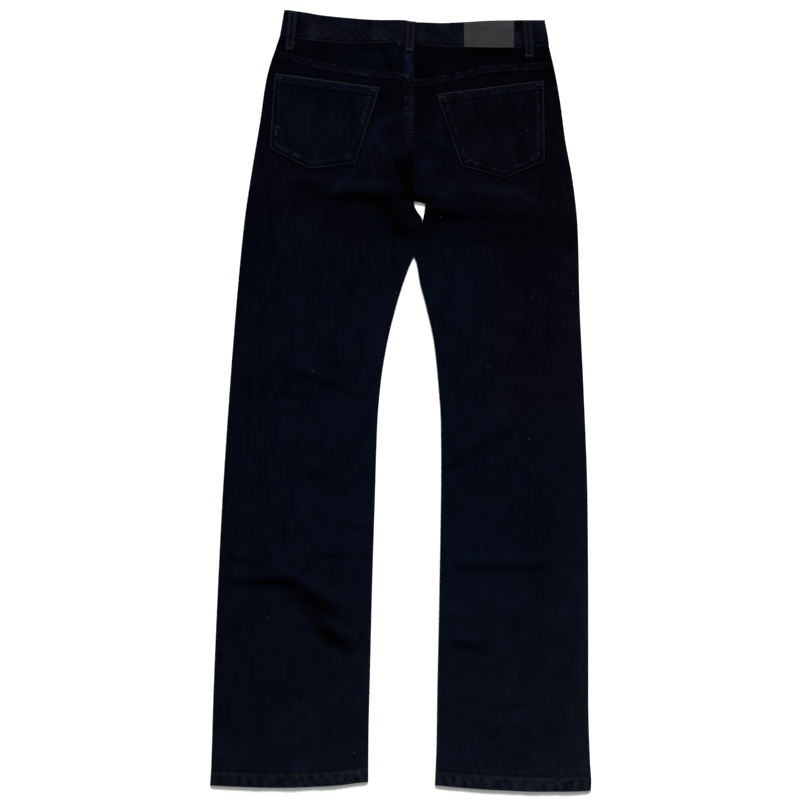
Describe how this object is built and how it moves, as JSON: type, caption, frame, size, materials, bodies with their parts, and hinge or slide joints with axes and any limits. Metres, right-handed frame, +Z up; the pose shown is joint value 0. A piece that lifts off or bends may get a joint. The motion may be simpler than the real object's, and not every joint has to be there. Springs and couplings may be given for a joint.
{
  "type": "straight leg jeans laid flat",
  "caption": "Dark straight leg jeans laid flat with the back up: yoke, patch pockets, waistband with loops and a leather patch, stitched hems.",
  "frame": {"origin": "on the surface that the jeans lie on, under the middle of their outline", "axes": "+X to the wearer's right, +Y from the hems to the waist, +Z up from the surface"},
  "size_m": [0.5412, 1.109, 0.0127],
  "materials": {
    "denim": "matt overdyed blue-black twill",
    "denim_band": "matt twill, slightly worn along its folds",
    "tape": "woven zip tape",
    "patch": "satin fine-grained charcoal",
    "button": "dark satin"
  },
  "bodies": {
    "root": {"front_left": "denim", "front_right": "denim", "pocket_facing_left": "denim", "pocket_facing_right": "denim", "back_left": "denim", "back_right": "denim", "yoke_left": "denim", "yoke_right": "denim", "back_pocket_left": "denim", "back_pocket_right": "denim", "waistband": "denim_band", "belt_loop_back_left": "denim_band", "belt_loop_centre_back": "denim_band", "belt_loop_back_right": "denim_band", "belt_loop_front_left": "denim_band", "belt_loop_front_right": "denim_band", "zip_fly": "tape", "waist_button": "button", "waist_patch": "patch"}
  },
  "joints": []
}
